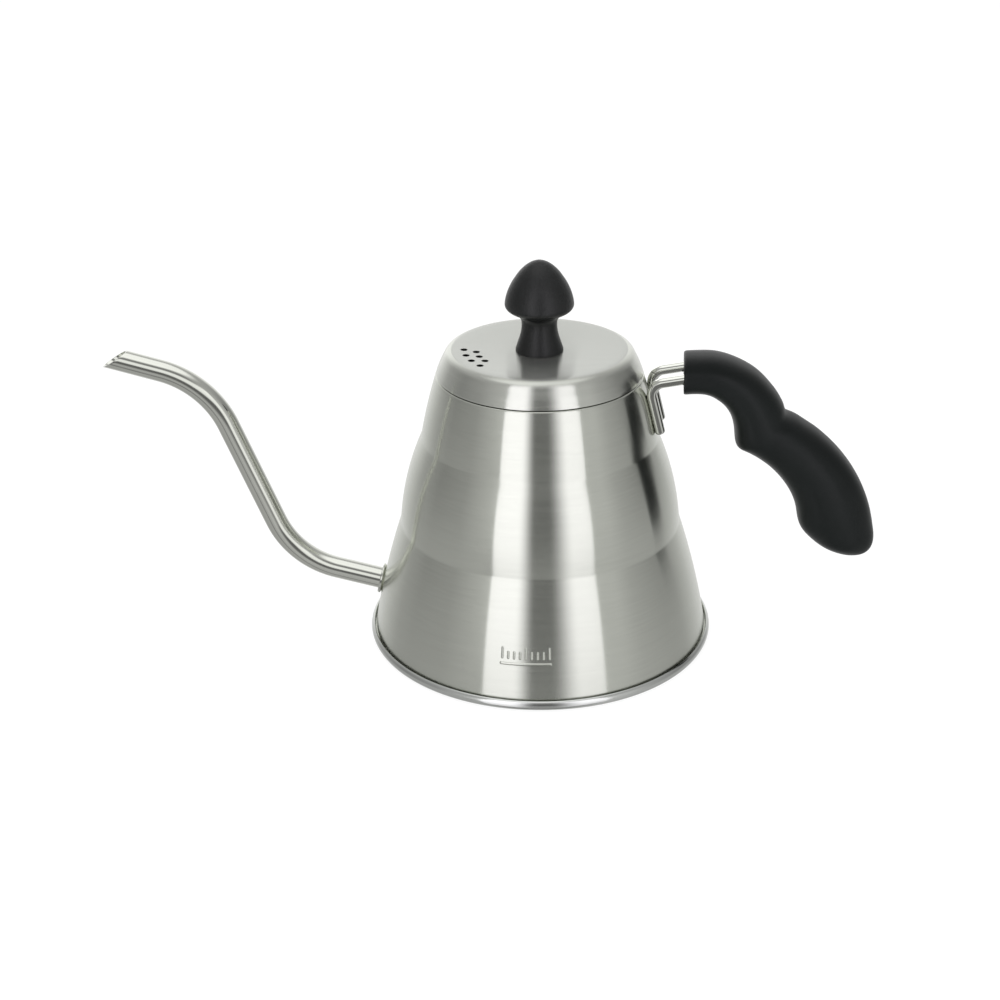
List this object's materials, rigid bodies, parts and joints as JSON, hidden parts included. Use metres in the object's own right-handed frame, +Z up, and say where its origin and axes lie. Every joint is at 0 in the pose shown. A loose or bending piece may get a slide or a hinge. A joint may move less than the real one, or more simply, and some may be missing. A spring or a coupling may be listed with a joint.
{
  "type": "gooseneck kettle",
  "caption": "Pour-over kettle with a stepped conical steel body, slim gooseneck spout, moulded side handle on bent rods, and a lift-off vented lid with a mushroom knob.",
  "frame": {"origin": "on the axis of the body, at the plane the base stands on", "axes": "+Z up, handle towards +X, spout towards -X, +Y away from the viewer of the picture"},
  "size_m": [0.3081, 0.14, 0.157],
  "materials": {
    "wall_steel": "brushed round the axis",
    "bright_steel": "polished",
    "plain_steel": "plain, as rolled",
    "grip_black": "satin moulded",
    "knob_black": "fine grained moulded",
    "insert_brass": "turned"
  },
  "bodies": {
    "kettle": {"body_shell": "wall_steel", "base_plate": "bright_steel", "spout_tube": "bright_steel", "spout_collar": "bright_steel", "handle_rod_front": "bright_steel", "handle_rod_back": "bright_steel", "handle_tie_plate": "plain_steel", "grip": "grip_black", "grip_screw": "plain_steel"},
    "lid": {"lid_shell": "wall_steel", "lid_sleeve": "plain_steel", "knob": "knob_black", "knob_insert": "insert_brass", "knob_washer": "plain_steel", "knob_screw": "plain_steel"}
  },
  "joints": [
    {"name": "lid_lift", "type": "slide", "parent": "kettle", "child": "lid", "axis": [0, 0, 1], "range_m": [0, 0.12]}
  ]
}
